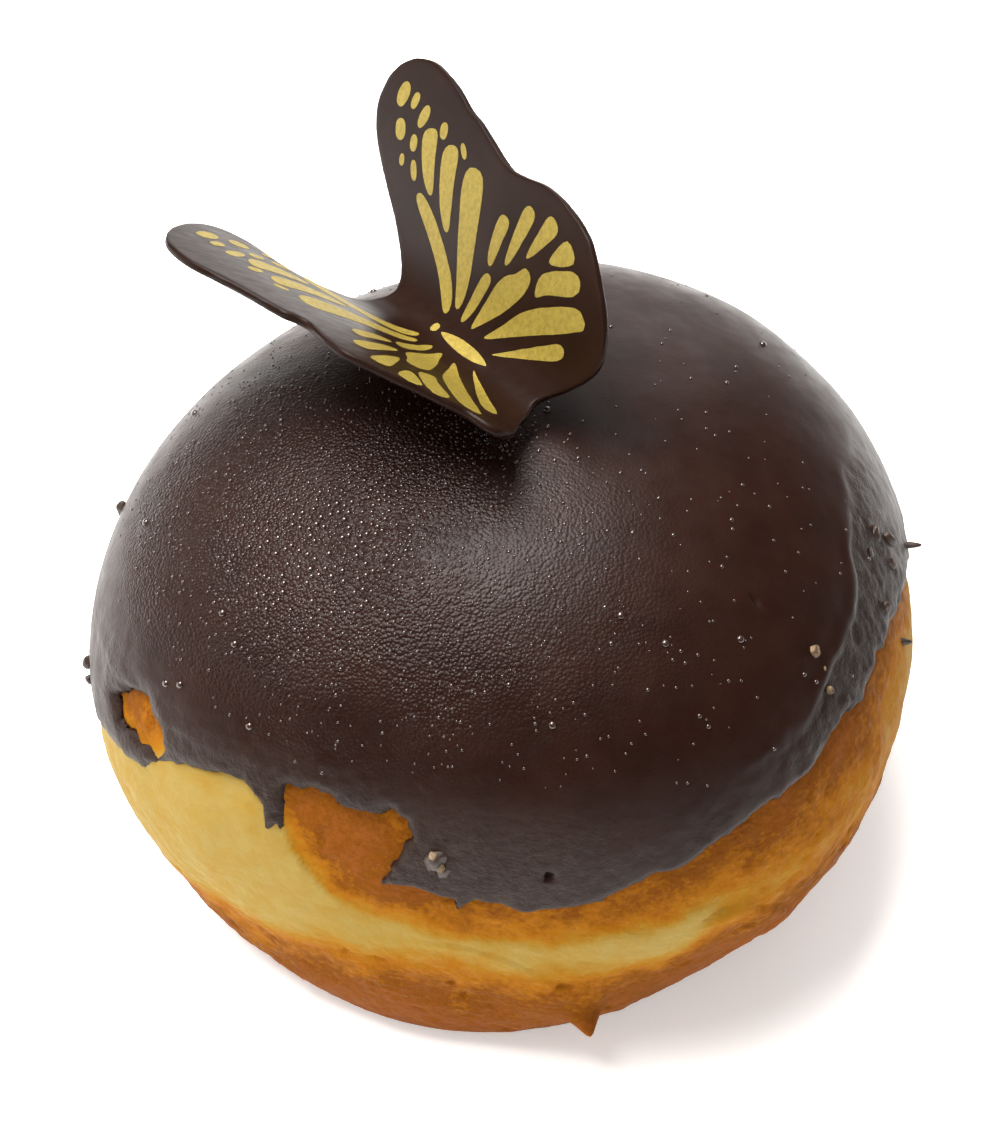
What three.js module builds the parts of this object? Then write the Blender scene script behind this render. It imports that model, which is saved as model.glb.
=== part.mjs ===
// A round filled-style doughnut without a hole: a fried bun, a chocolate icing cap
// and a folded chocolate butterfly that rests on it.
// Millimetres, +Z up. The origin is the middle of the flat underside. Seen with +X to the
// right and +Y away, the butterfly's head points to the back left.
import * as THREE from 'three';

// Bun
const DOUGH_RADIUS = 40.7;
const WAIST_HEIGHT = 24.0;
const DOME_RISE = 32.9;
const DOME_POWER = 2.3;
const FOOT_RADIUS = 29.0;
const UNDERSIDE_POWER = 1.8;
// Each wave of the plan outline: waves per turn, size in mm, bearing of its crest in degrees
const OUTLINE_WAVES = [[1, 1.3, -32], [2, 1.85, 17], [3, 1.35, 68], [4, 0.6, 38]];
const FOOT_WAVES = [[1, 3.1, -132], [2, 2.8, 78]];
// Soft dents and swellings low on the side: bearing, height, half width in degrees, half height, depth
const SWELLINGS = [[-62, 13, 13, 10, -1.1], [-81, 10, 9, 8, 0.8], [-132, 15, 12, 9, -0.6]];
// A small point of dough pulled out where the bun left the fryer
const NUB_BEARING = -78;
const NUB_RISE = 2.4;

// Icing cap
const ICING_GAP = 0.35;
const ICING_THICKNESS = 1.2;
const LIP_THICKNESS = 0.5;
// The cap reaches its full thickness this share of the way from its edge to the top
const FULL_SHARE = 0.5;
// Height of the cap's lower edge above the underside, all the way round: bearing, height
const ICING_EDGE = [
  [-180, 28], [-165, 26.6], [-160, 26.6], [-154, 28.8], [-147, 31], [-141, 35], [-134, 37],
  [-129, 37.5], [-124, 33.6], [-121, 38.8], [-113, 38.7], [-106, 38.2], [-100, 30.6], [-96, 29.2],
  [-93, 30.2], [-87, 29.3], [-79, 30.3], [-70, 33.5], [-60, 35.8], [-51, 37.4], [-38, 39],
  [-24, 39], [-10, 37], [3, 34], [20, 33], [45, 34.5], [70, 36.2], [92, 33.8], [112, 35.2],
  [135, 32.8], [158, 30.5], [180, 28],
];

// Butterfly: a sheet cut flat, folded along its body and laid on the icing
const SHEET = 0.9;
const WING_SCALE = 0.993;
// Rows of each wing: distance from the body line, rear end, front end
const RIGHT_WING = [
  [0, -12.2, 12.5], [1.5, -13.4, 12.7], [3, -15, 13.9], [5, -16.9, 15.5], [7, -17.7, 17.2],
  [9, -17.6, 19.1], [11.3, -16.7, 21], [13.5, -15.2, 22.6], [15.5, -13.5, 23.2], [17, -11.7, 23.3],
  [18.2, -8.6, 23.1], [18.5, 1, 23], [19.6, 4.4, 22.5], [21, 8, 21.6], [22.4, 11.8, 19.7],
  [23.3, 14.9, 16.8],
];
const LEFT_WING = [
  [0, -12.2, 12.5], [1.5, -13.4, 12.9], [3, -15.2, 13], [5, -16.8, 13], [7, -17.5, 13.1],
  [9, -17.5, 13.2], [10, -14.4, 13.4], [12, -13.3, 16.5], [12.6, -12.9, 21.2], [14, -11.5, 22.8],
  [15.5, -10.5, 23.3], [17, -8.8, 23.1], [19.2, -6.6, 22.4], [19.5, 0.4, 22.3], [21, 2.2, 21.4],
  [22.5, 5.9, 20.3], [24, 9.4, 18.8], [25.4, 12.3, 15.6],
];
// Each wing turns up by this much, over this width, and then relaxes by this much per mm
const RIGHT_FOLD = { turn: 1.11, width: 4.1, relax: 0.011 };
const LEFT_FOLD = { turn: 1.12, width: 3.3, relax: 0.016 };
const FOLD_OFFSET = -0.35;
const FOLD_SKEW = 0.016;
const BUTTERFLY_PLACE = [-4.0, 5.3, 59.9];
const BUTTERFLY_TURN = [-9.6, -13, 35.1];

// Fineness of the faceted surfaces
const BEARING_STEPS = 90;
const UNDERSIDE_ROWS = 6;
const DOME_ROWS = 9;
const ICING_ROWS = 10;
const WING_COLUMNS = 4;
const FOLD_STEP = 0.25;

const radians = THREE.MathUtils.degToRad;

function wavy(mean, waves, bearing) {
  let radius = mean;
  for (const [turns, size, crest] of waves) {
    radius += size * Math.cos(turns * (bearing - radians(crest)));
  }
  return radius;
}

// Fades to nothing at the waist and at the foot, which stay true
function swelling(bearing, height) {
  let sum = 0;
  for (const [middle, level, halfWidth, halfHeight, depth] of SWELLINGS) {
    const sideways = (THREE.MathUtils.radToDeg(bearing) - middle + 540) % 360 - 180;
    const upwards = height - level;
    sum += depth * Math.exp(-((sideways / halfWidth) ** 2) - (upwards / halfHeight) ** 2);
  }
  return sum * Math.sin(Math.PI * height / WAIST_HEIGHT) ** 0.5;
}

// A point of the bun. climb is -1 at the foot's rim, 0 at the waist and 1 at the top;
// lift is how far the point stands outside the dough.
function bunPoint(bearing, climb, lift) {
  const angle = Math.abs(climb) * Math.PI / 2;
  const waist = wavy(DOUGH_RADIUS, OUTLINE_WAVES, bearing) + lift;
  let radius = waist * Math.cos(angle) ** (2 / DOME_POWER);
  let height = WAIST_HEIGHT + (DOME_RISE + lift) * Math.sin(angle) ** (2 / DOME_POWER);
  if (climb < 0) {
    const foot = wavy(FOOT_RADIUS, FOOT_WAVES, bearing);
    radius = foot + (waist - foot) * Math.cos(angle) ** (2 / UNDERSIDE_POWER);
    height = WAIST_HEIGHT * (1 - Math.sin(angle) ** (2 / UNDERSIDE_POWER));
    radius += swelling(bearing, height);
  }
  return new THREE.Vector3(radius * Math.cos(bearing), radius * Math.sin(bearing), height);
}

// One ring of points round the bun, starting at the nub's bearing
function ring(climbAt, lift) {
  const points = [];
  for (let step = 0; step < BEARING_STEPS; step += 1) {
    const bearing = radians(NUB_BEARING) + step * 2 * Math.PI / BEARING_STEPS;
    points.push(bunPoint(bearing, climbAt(bearing), lift));
  }
  return points;
}

function meshOf(name, points, triangles, colour, roughness) {
  const geometry = new THREE.BufferGeometry();
  geometry.setAttribute('position', new THREE.Float32BufferAttribute(points.flatMap((p) => p.toArray()), 3));
  geometry.setIndex(triangles);
  geometry.computeVertexNormals();
  const material = new THREE.MeshStandardMaterial({ color: colour, roughness, metalness: 0 });
  const mesh = new THREE.Mesh(geometry, material);
  mesh.name = name;
  return mesh;
}

// Closes a stack of rings with a point at each end into one solid
function ringSolid(name, start, rings, end, colour, roughness) {
  const points = [start, ...rings.flat(), end];
  const triangles = [];
  const at = (row, step) => 1 + row * BEARING_STEPS + (step % BEARING_STEPS);
  for (let step = 0; step < BEARING_STEPS; step += 1) {
    triangles.push(0, at(0, step + 1), at(0, step));
    for (let row = 0; row + 1 < rings.length; row += 1) {
      triangles.push(at(row, step), at(row, step + 1), at(row + 1, step + 1));
      triangles.push(at(row, step), at(row + 1, step + 1), at(row + 1, step));
    }
    triangles.push(points.length - 1, at(rings.length - 1, step), at(rings.length - 1, step + 1));
  }
  return meshOf(name, points, triangles, colour, roughness);
}

function makeDough() {
  const rings = [];
  for (let row = 0; row < UNDERSIDE_ROWS; row += 1) {
    rings.push(ring(() => row / UNDERSIDE_ROWS - 1, 0));
  }
  for (let row = 0; row < DOME_ROWS; row += 1) {
    rings.push(ring(() => row / DOME_ROWS, 0));
  }
  const nub = rings[2][0];
  nub.x += NUB_RISE * Math.cos(radians(NUB_BEARING));
  nub.y += NUB_RISE * Math.sin(radians(NUB_BEARING));
  const foot = new THREE.Vector3(0, 0, 0);
  const top = new THREE.Vector3(0, 0, WAIST_HEIGHT + DOME_RISE);
  return ringSolid('dough', foot, rings, top, 0xc98a3c, 0.7);
}

// Climb at which the icing's edge lies, from the edge's height with a smooth step between points
function edgeClimb(bearing) {
  const degrees = THREE.MathUtils.euclideanModulo(THREE.MathUtils.radToDeg(bearing) + 180, 360) - 180;
  const next = ICING_EDGE.findIndex(([point]) => point > degrees);
  const [from, low] = ICING_EDGE[next - 1];
  const [to, high] = ICING_EDGE[next];
  const height = THREE.MathUtils.lerp(low, high, THREE.MathUtils.smoothstep(degrees, from, to));
  const share = (height - WAIST_HEIGHT) / (DOME_RISE + ICING_GAP);
  return Math.asin(share ** (DOME_POWER / 2)) * 2 / Math.PI;
}

function makeIcing() {
  const rows = [];
  for (let row = 0; row < ICING_ROWS; row += 1) {
    rows.push(row / ICING_ROWS);
  }
  const rowRing = (share, lift) => ring((bearing) => THREE.MathUtils.lerp(edgeClimb(bearing), 1, share), lift);
  const inner = rows.map((share) => rowRing(share, ICING_GAP)).reverse();
  const thickness = (share) => {
    return THREE.MathUtils.lerp(LIP_THICKNESS, ICING_THICKNESS, THREE.MathUtils.smoothstep(share, 0, FULL_SHARE));
  };
  const outer = rows.map((share) => rowRing(share, ICING_GAP + thickness(share)));
  const innerTop = new THREE.Vector3(0, 0, WAIST_HEIGHT + DOME_RISE + ICING_GAP);
  const outerTop = innerTop.clone().setZ(innerTop.z + ICING_THICKNESS);
  return ringSolid('chocolate_icing', innerTop, [...inner, ...outer], outerTop, 0x33201a, 0.35);
}

// How far the sheet has turned up at a distance from the fold's middle
function turned(distance) {
  const fold = distance > 0 ? RIGHT_FOLD : LEFT_FOLD;
  return fold.turn * Math.tanh(distance / fold.width) - fold.relax * distance;
}

// A point of the folded sheet, from its place on the flat sheet (along the body, across it)
// and its depth under the upper face
function sheetPoint(along, across, depth) {
  const distance = across * Math.cos(FOLD_SKEW) - along * Math.sin(FOLD_SKEW);
  const steps = Math.max(1, Math.round(Math.abs(distance) / FOLD_STEP));
  const step = distance / steps;
  let x = 0;
  let z = 0;
  for (let index = 0; index < steps; index += 1) {
    const angle = turned((index + 0.5) * step - FOLD_OFFSET);
    x += step * Math.cos(angle);
    z += step * Math.sin(angle);
  }
  const angle = turned(distance - FOLD_OFFSET);
  const y = along * Math.cos(FOLD_SKEW) + across * Math.sin(FOLD_SKEW);
  return new THREE.Vector3(x + depth * Math.sin(angle), y, z - depth * Math.cos(angle));
}

function makeButterfly() {
  const leftRows = LEFT_WING.slice(1).reverse().map(([across, rear, front]) => [-across, rear, front]);
  const rows = [...leftRows, ...RIGHT_WING];
  const width = WING_COLUMNS + 1;
  const points = [];
  for (const depth of [0, SHEET]) {
    for (const [across, rear, front] of rows) {
      for (let column = 0; column <= WING_COLUMNS; column += 1) {
        const along = THREE.MathUtils.lerp(rear, front, column / WING_COLUMNS);
        points.push(sheetPoint(along * WING_SCALE, across * WING_SCALE, depth));
      }
    }
  }
  const under = rows.length * width;
  const triangles = [];
  // a, b, c and d run anticlockwise as seen from outside
  const quad = (a, b, c, d) => triangles.push(a, b, c, a, c, d);
  for (let row = 0; row + 1 < rows.length; row += 1) {
    for (let column = 0; column < WING_COLUMNS; column += 1) {
      const a = row * width + column;
      quad(a, a + width, a + width + 1, a + 1);
      quad(under + a, under + a + 1, under + a + width + 1, under + a + width);
    }
    const rear = row * width;
    const front = rear + WING_COLUMNS;
    quad(rear, under + rear, under + rear + width, rear + width);
    quad(front, front + width, under + front + width, under + front);
  }
  for (let column = 0; column < WING_COLUMNS; column += 1) {
    const left = column;
    const right = (rows.length - 1) * width + column;
    quad(left, left + 1, under + left + 1, under + left);
    quad(right, under + right, under + right + 1, right + 1);
  }
  const mesh = meshOf('butterfly', points, triangles, 0x3d2922, 0.45);
  mesh.position.set(...BUTTERFLY_PLACE);
  mesh.rotation.set(...BUTTERFLY_TURN.map(radians), 'ZXY');
  return mesh;
}

const doughnut = new THREE.Group();
doughnut.add(makeDough(), makeIcing(), makeButterfly());

export default doughnut;
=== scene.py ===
"""A chocolate-iced doughnut with a folded chocolate butterfly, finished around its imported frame.

Lengths are millimetres and angles are degrees until a mesh is made, in metres.
Places on the bun are given as a bearing, seen from above with 0 along +X, and a height.
"""
import math

import bmesh
import bpy
import numpy as np
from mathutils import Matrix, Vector, geometry


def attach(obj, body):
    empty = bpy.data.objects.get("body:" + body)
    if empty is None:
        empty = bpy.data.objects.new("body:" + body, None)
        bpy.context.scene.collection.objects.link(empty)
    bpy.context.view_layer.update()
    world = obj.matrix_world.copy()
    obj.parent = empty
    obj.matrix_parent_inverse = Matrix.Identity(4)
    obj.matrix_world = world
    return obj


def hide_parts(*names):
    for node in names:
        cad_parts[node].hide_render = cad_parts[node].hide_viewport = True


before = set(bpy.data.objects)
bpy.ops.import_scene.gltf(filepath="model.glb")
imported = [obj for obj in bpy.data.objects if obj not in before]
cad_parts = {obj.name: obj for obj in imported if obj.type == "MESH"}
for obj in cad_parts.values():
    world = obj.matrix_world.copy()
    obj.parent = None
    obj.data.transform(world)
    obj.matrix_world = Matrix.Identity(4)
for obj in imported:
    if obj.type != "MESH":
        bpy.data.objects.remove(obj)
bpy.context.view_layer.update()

MM = 0.001
TURN = 2 * math.pi

# Bun
DOUGH_RADIUS = 40.7
WAIST_HEIGHT = 24.0
DOME_RISE = 32.9
DOME_POWER = 2.3
FOOT_RADIUS = 29.0
UNDERSIDE_POWER = 1.8
OUTLINE_WAVES = [(1, 1.3, -32), (2, 1.85, 17), (3, 1.35, 68), (4, 0.6, 38)]
FOOT_WAVES = [(1, 3.1, -132), (2, 2.8, 78)]
# Soft swells and hollows, below the waist and then all over: bearing, height, half widths, how far out
SWELLINGS = [(-62, 13, 13, 10, -1.1), (-81, 10, 9, 8, 0.8), (-132, 15, 12, 9, -0.6)]
BULGES = [(-8, 30, 34, 9, 0.7), (157, 34, 24, 8, -0.95), (54, 42, 26, 8, -1.15)]
# Pulled point of dough low at the front: bearing, height, distance from the axis, length, half width
NUB = (-78, 9.0, 38, 2.8, 1.25)
TOP_HEIGHT = WAIST_HEIGHT + DOME_RISE
MM_PER_DEGREE = math.radians(1) * DOUGH_RADIUS
DOUGH_COLUMNS = 660
DOUGH_ROWS = 112

# Soft pale ring round the waist: bearing, lower edge, upper edge, how pale
PALE_RING = [
    (-180, 20, 29, 0.9), (-165, 19, 28, 1), (-150, 16.5, 31, 1), (-140, 15.5, 36, 1),
    (-130, 16.5, 38, 1), (-124, 17.5, 36, 1), (-120, 18.5, 31.3, 1), (-115, 19.5, 26.8, 0.95),
    (-108, 20, 24.6, 0.6), (-98, 20.4, 23.5, 0.55), (-90, 20, 23.5, 0.8), (-84, 19.6, 23.5, 1),
    (-76, 19.8, 24.6, 1), (-70, 19.6, 25.2, 1), (-66, 20, 26.2, 1), (-63.4, 22.5, 26.8, 0.9),
    (-61.5, 24, 27.4, 0.3), (-58, 25, 28, 0.15), (-52, 25, 29.5, 0.08), (-44, 25, 32, 0.05),
    (-34, 25, 33.5, 0.05), (-24, 25, 34, 0.1), (-10, 24, 32, 0.4), (5, 23, 31, 0.65),
    (30, 21, 29, 0.8), (60, 20, 28, 0.85), (90, 19, 27, 0.9), (120, 20, 28, 0.8),
    (150, 18.5, 28.5, 0.9), (180, 18, 29, 0.9),
]
# Creases in the crust: points along each, how far the lower side stands out, groove depth
CREASES = [
    ([(-104, 22.5), (-96, 22.6), (-90, 21.2), (-84.5, 18.6), (-80, 14)], 0.28, 0.05),
    ([(-65, 16.5), (-65.5, 20), (-65.2, 23.8), (-61, 25.4), (-56, 25.9)], 0.5, 0.2),
    ([(-58, 27), (-54, 23), (-50, 20.5), (-44, 14)], 0.45, 0.15),
    ([(150, 21), (160, 19.5), (172, 20.5)], 0.6, 0.35),
    ([(62, 20.5), (74, 22), (88, 20.5), (97, 18.5)], 0.7, 0.35),
]

# Icing
ICING_GAP = 0.35
ICING_THICKNESS = 1.2
LIP_THICKNESS = 0.5
LIP_ROUNDING = 0.9
# Heights between which the icing grows from its lip's thickness to its full one
THICKENING = (28, 50)
# How near the edge a place is drawn to it, and the step that measures the edge's slope
EDGE_REACH = 0.45
EDGE_STEP = 0.05
ICING_COLUMNS = 620
ICING_ROWS = 150
# Bearings and heights of the icing's lower edge
ICING_EDGE = [
    (-180, 28), (-172, 27), (-165, 26.6), (-160, 26.8), (-154, 28.9), (-149, 29.8), (-145.5, 31),
    (-143, 33.8), (-140, 35), (-136, 36.2), (-132, 37.2), (-129.2, 37.5), (-127.3, 37),
    (-126, 36.6), (-125.2, 35.4), (-124.6, 33.4), (-123.9, 33), (-123.1, 34.2), (-121.5, 32), (-116, 29),
    (-110, 29.6), (-107, 30.2), (-102.6, 30.8), (-99.5, 30.3), (-97.2, 30), (-96.4, 28.3),
    (-95.4, 29.2), (-94, 30.4), (-91, 30.2), (-87, 29), (-84, 29.8), (-79, 30.2), (-75, 31.5),
    (-70, 33.5), (-65, 34), (-60, 35.7), (-55, 36.9), (-51, 37.3), (-44, 38), (-38, 39),
    (-31, 38.9), (-24, 39), (-20, 39), (-10, 37), (3, 34), (12, 33.6), (20, 31.6), (24, 33),
    (33, 33.2), (45, 34.8), (57, 34.6), (63, 36.6), (70, 36.4), (78, 34), (84, 33.2), (87, 30.5),
    (90, 33.4), (100, 34), (112, 35.4), (122, 34.6), (129, 31.6), (135, 33), (144, 32.6),
    (151, 29.2), (156, 30.8), (168, 29.6), (180, 28),
]
# Places that the icing missed, as closed outlines
BARE_PATCHES = [
    [(-123, 38.9), (-119.2, 39.2), (-116, 39.4), (-113, 38.5), (-110, 38.5), (-106.7, 39), (-104.6, 38.2),
     (-103.8, 36.6), (-105, 34.4), (-106.6, 32.2), (-108.2, 30.2), (-112, 26), (-124, 26), (-121.8, 33)],
    [(-155, 34.6), (-152.5, 37), (-149.5, 38.3), (-147, 38.3), (-144.4, 37), (-142.6, 35), (-143.4, 33.6),
     (-146, 33.9), (-149.5, 33.2), (-152.5, 33)],
]
# Small open bubbles in the icing: bearing, height, radius, depth
PITS = [(-84, 34.3, 0.42, 0.9), (-40, 50, 0.35, 0.4), (115, 44, 0.5, 0.7)]
# Where the thick cap gives way to a thin film: bearing, height, how strongly
FILM_LINE = [
    (-180, 34, 0), (-165, 36, 0.2), (-150, 38, 0.3), (-120, 40, 0.1), (-60, 41, 0), (-45, 42, 0.5),
    (-38, 43, 1), (-28, 44, 1), (-18, 45.5, 1), (-10, 46.5, 0.8), (-2, 47, 0.45), (8, 46, 0.2),
    (24, 44, 0), (180, 34, 0),
]
# Large droplets on the icing: bearing, height
LARGE_DROPLETS = [
    (-143.8, 48.0), (-139.5, 47.0), (-143, 42.5), (-144.5, 41.8), (-129.5, 42.6), (-83, 47), (-66, 52),
    (-60, 50.5), (-24, 56.8), (-47, 49), (30, 50), (70, 52), (120, 49), (165, 47), (-170, 46),
]
DROPLET_TRIES = 26000
LARGE_DROPLET = 0.42

# Butterfly
SHEET = 0.9
WING_SCALE = 0.993
# How each wing turns up from the fold: angle in radians, over what distance, flattening per mm
FOLDS = {1: (1.11, 4.1, 0.011), -1: (1.12, 3.3, 0.016)}
FOLD_OFFSET = -0.35
FOLD_SKEW = 0.016
BUTTERFLY_PLACE = (-4.35, 5.3, 59.9)
BUTTERFLY_TURN = (-9.6, -13.0, 35.1)
# Cut outlines on the flat sheet, from the head's saddle to the tail's notch: along, across
RIGHT_OUTLINE = [
    (12.5, 0), (12.7, 1.5), (15, 4.4), (17.1, 6.9), (18.9, 8.8), (21, 11.3), (22.7, 13.7), (23.4, 16.3),
    (23, 18.6), (21.7, 20.9), (19.2, 22.7), (16.6, 23.3), (14.6, 23.1), (12, 22.5), (9, 21.2), (7.1, 20.7),
    (4.4, 19.6), (2.5, 18.8), (0.7, 18.3), (-1.8, 18.5), (-4.3, 18.8), (-6.9, 18.6), (-9.7, 17.9),
    (-11.8, 16.9), (-13.3, 15.7), (-15.2, 13.4), (-16.7, 11.2), (-17.6, 8.9), (-17.7, 6.7), (-16.9, 5),
    (-14.9, 2.9), (-12.8, 1), (-12.2, 0),
]
LEFT_OUTLINE = [
    (12.5, 0), (12.9, -1.2), (13, -3), (13, -6), (13.6, -9.6), (16.2, -11.6), (20.6, -12.6), (22.8, -14.6),
    (23.2, -16.6), (22.7, -18.6), (21.5, -20.9), (19.6, -23.3), (17.5, -24.9), (15.2, -25.5),
    (12.1, -25.3), (9.1, -23.9), (5.9, -22.5), (2.3, -21.1), (0.2, -19.5), (-3.8, -19.7), (-6.5, -19.1),
    (-8.9, -17), (-10.5, -15.4), (-11.5, -14), (-13.4, -11.9), (-14.6, -10.4), (-16.4, -9.7),
    (-17.5, -8.6), (-17.3, -6.8), (-15.9, -4.9), (-13.8, -2.7), (-12.7, -1), (-12.2, 0),
]
# Gold marks of one wing as petals: start, end, half widths there, sideways bow
PETALS = [
    ((19.9, 17.6), (19.1, 20.2), 0.85, 0.85, 0), ((17.7, 18.1), (17.1, 19.9), 0.55, 0.55, 0),
    ((15.9, 16.8), (15, 19.3), 0.6, 0.7, 0), ((11.8, 17.1), (11.9, 18.8), 0.6, 0.6, 0),
    ((7.6, 16.7), (8.7, 17.9), 0.4, 0.4, 0), ((18.4, 14.5), (19, 16.6), 0.85, 0.85, 0),
    ((16, 14.2), (16.2, 15.9), 0.6, 0.6, 0), ((17.4, 12.2), (17.5, 13.4), 0.42, 0.42, 0),
    ((14.8, 11.6), (15.6, 13.5), 0.5, 0.5, 0), ((11.7, 11.3), (13.8, 17.5), 0.75, 1.4, -0.45),
    ((8.1, 8.9), (10, 17.2), 0.8, 1.45, -0.45), ((3.5, 2.7), (5.8, 16.5), 0.9, 1.95, -0.1),
    ((4.5, 1.8), (13.8, 10.7), 1.0, 0.95, 0.65), ((0.6, 8.6), (-0.4, 14.1), 0.6, 0.95, -0.15),
    ((-1.8, 9.7), (-3.8, 16.3), 0.5, 1.05, 0), ((-4.6, 11.6), (-7.5, 16.5), 0.3, 1.2, 0),
    ((2.1, 2), (0.3, 7.8), 0.55, 0.75, -0.15), ((-3.9, 1.2), (-12.8, 5.7), 0.15, 0.95, 0),
]
# Gold marks of one wing that are not petals, as closed outlines
BLOCKS = [
    [(-7.9, 12.6), (-8.7, 14.5), (-9.7, 15.5), (-10.8, 15), (-11.3, 13.9), (-9.6, 12.9)],
    [(-7, 8.8), (-7.4, 11.2), (-11.5, 13.2), (-12.9, 12.4), (-12.3, 11.1), (-8.8, 9.7)],
    [(0.4, 2), (0.3, 3.8), (-0.8, 6.8), (-2, 8.6), (-3.6, 9.6), (-4.8, 10.7), (-5.8, 10.1), (-5.4, 8.3),
     (-3, 5.3), (-1.2, 3.5)],
    [(-1.8, 2), (-3.3, 4), (-5.8, 6.6), (-9.3, 8.7), (-12.8, 10.2), (-14.2, 9.9), (-14.7, 8.8), (-11.6, 7),
     (-8.6, 5.5), (-5, 3.6)],
]
# Gold marks on the body, of which the long one has pointed ends
BODY_MARKS = [((3.3, 0), (-4.4, 0), 0.66, 0.66, 0, 1.3), ((3.9, 0), (4.9, 0), 0.5, 0.5, 0)]

# Camera, looking down at the bun along +Y from a distance in mm
VIEW_ELEVATION = 50.0
VIEW_DISTANCE = 260.0
LENS = 78.7
SENSOR = 36.0
# The waist's centre lies this far right of and below the middle of the picture, as an angle
AIM_RIGHT = 0.12
AIM_BELOW = 1.55

# Crumbs of dough and then of chocolate: bearing, height, lift over the dough, half sizes
PALE_CRUMBS = [
    (-99.9, 35.5, 1.05, (0.5, 0.45, 0.6)), (-98.8, 34.3, 1.15, (0.35, 0.4, 0.7)),
    (-100.4, 34.2, 0.95, (0.3, 0.3, 0.5)), (-36.5, 45.4, 1.2, (0.55, 0.5, 0.75)),
    (-36.9, 43.8, 1.1, (0.3, 0.3, 0.6)), (-37.6, 42.4, 1.1, (0.45, 0.4, 0.45)),
    (95, 41, 1.1, (0.6, 0.6, 0.5)),
]
CHOCOLATE_CRUMBS = [
    (-99.6, 34.9, 0.45, (1.25, 0.9, 1.4)), (-98.3, 33.6, 0.40, (0.75, 0.7, 1.0)),
    (-168, 29.2, 0.9, (0.6, 0.6, 0.9)), (-166.5, 27.8, 0.8, (0.45, 0.4, 0.6)),
    (176, 39, 0.9, (0.6, 0.5, 1.0)), (-5.5, 41.5, 0.95, (1.1, 0.5, 1.0)),
    (-7.5, 43.2, 0.95, (0.5, 0.9, 1.3)), (-9.5, 41, 0.9, (0.9, 0.4, 0.9)),
    (-12, 43.6, 0.9, (0.4, 0.8, 0.9)), (0.5, 36.4, 1.4, (1.3, 0.3, 0.3)),
    (-17.5, 40.4, 0.9, (0.5, 0.5, 1.1)), (-14, 33.8, 0.6, (0.8, 0.35, 0.35)),
    (140, 34.5, 1.0, (0.8, 0.7, 0.9)), (30, 35, 1.0, (0.8, 0.8, 0.6)),
]

# Room light from the horizon to overhead, by the height of the direction, and the floor's half width
SKY = [
    (0.0, (0.40, 0.39, 0.37)), (0.12, (0.30, 0.29, 0.275)), (0.26, (0.11, 0.103, 0.095)),
    (0.5, (0.25, 0.238, 0.222)), (0.95, (0.56, 0.55, 0.53)),
]
FLOOR_HALF = 3.0


# -------- numbers

def smooth(x, low, high):
    """0 below low, 1 above high, and an even curve between."""
    t = np.clip((x - low) / (high - low), 0, 1)
    return t * t * (3 - 2 * t)


def lattice(x, y, z, seed):
    """A repeatable value from -1 to 1 for each whole-numbered point."""
    h = (x * 374761393 + y * 668265263 + z * 2147483647 + seed * 144269504) & 0xFFFFFFFF
    h = ((h ^ (h >> 13)) * 1274126177) & 0xFFFFFFFF
    return ((h ^ (h >> 16)) & 0xFFFF) / 32767.5 - 1


def noise(points, size, seed):
    """Smooth noise with lumps about `size` mm across."""
    q = np.asarray(points, float) / size
    base = np.floor(q).astype(np.int64)
    f = q - base
    f = f * f * (3 - 2 * f)
    total = 0
    for dx in (0, 1):
        for dy in (0, 1):
            for dz in (0, 1):
                weight = np.abs(1 - dx - f[:, 0]) * np.abs(1 - dy - f[:, 1]) * np.abs(1 - dz - f[:, 2])
                total = total + weight * lattice(base[:, 0] + dx, base[:, 1] + dy, base[:, 2] + dz, seed)
    return total


def layered(points, size, seed, layers=3):
    """Noise in layers, each half as large and half as strong as the one before."""
    return sum(noise(points, size / 2 ** k, seed + k) / 2 ** k for k in range(layers))


def round_table(bearing, rows, column):
    """Interpolates a column of a table that runs once round the bun."""
    return np.interp((bearing + 180) % 360 - 180, [r[0] for r in rows], [r[column] for r in rows])


def apart(bearing, middle):
    """Signed turn from one bearing to another, within half a turn."""
    return (bearing - middle + 540) % 360 - 180


def segment_distance(x, y, ax, ay, bx, by):
    """Distance from a stretch of line, and which side of it a point is on (left is positive)."""
    dx, dy = bx - ax, by - ay
    t = np.clip(((x - ax) * dx + (y - ay) * dy) / (dx * dx + dy * dy), 0, 1)
    return np.hypot(x - ax - t * dx, y - ay - t * dy), dx * (y - ay) - dy * (x - ax)


def within(x, y, corners):
    """Whether each place is inside a closed outline."""
    inside = np.zeros(x.shape, bool)
    for (ax, ay), (bx, by) in zip(corners, np.roll(corners, -1, 0)):
        if ay != by:
            inside ^= ((ay > y) != (by > y)) & (x < (bx - ax) * (y - ay) / (by - ay) + ax)
    return inside


def outside(bearing, height, outline):
    """How far a place on the bun is outside a closed outline; negative inside."""
    start = outline[0][0]
    x = apart(bearing, start) * MM_PER_DEGREE
    points = [((b - start) * MM_PER_DEGREE, h) for b, h in outline]
    nearest = np.full(x.shape, 1e9)
    for (ax, ay), (bx, by) in zip(points, points[1:] + points[:1]):
        nearest = np.minimum(nearest, segment_distance(x, height, ax, ay, bx, by)[0])
    return np.where(within(x, height, points), -nearest, nearest)


def closed_curve(points, step):
    """A smooth closed curve through the points, with a point about every `step` mm."""
    p = np.array(points, float)
    out = []
    for k in range(len(p)):
        a, b, c, d = p[k - 1], p[k], p[(k + 1) % len(p)], p[(k + 2) % len(p)]
        pieces = max(2, int(np.linalg.norm(c - b) / step))
        for t in np.arange(pieces) / pieces:
            out.append(0.5 * (2 * b + (c - a) * t + (2 * a - 5 * b + 4 * c - d) * t ** 2
                              + (3 * b - a - 3 * c + d) * t ** 3))
    return np.array(out)


# -------- meshes

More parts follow.
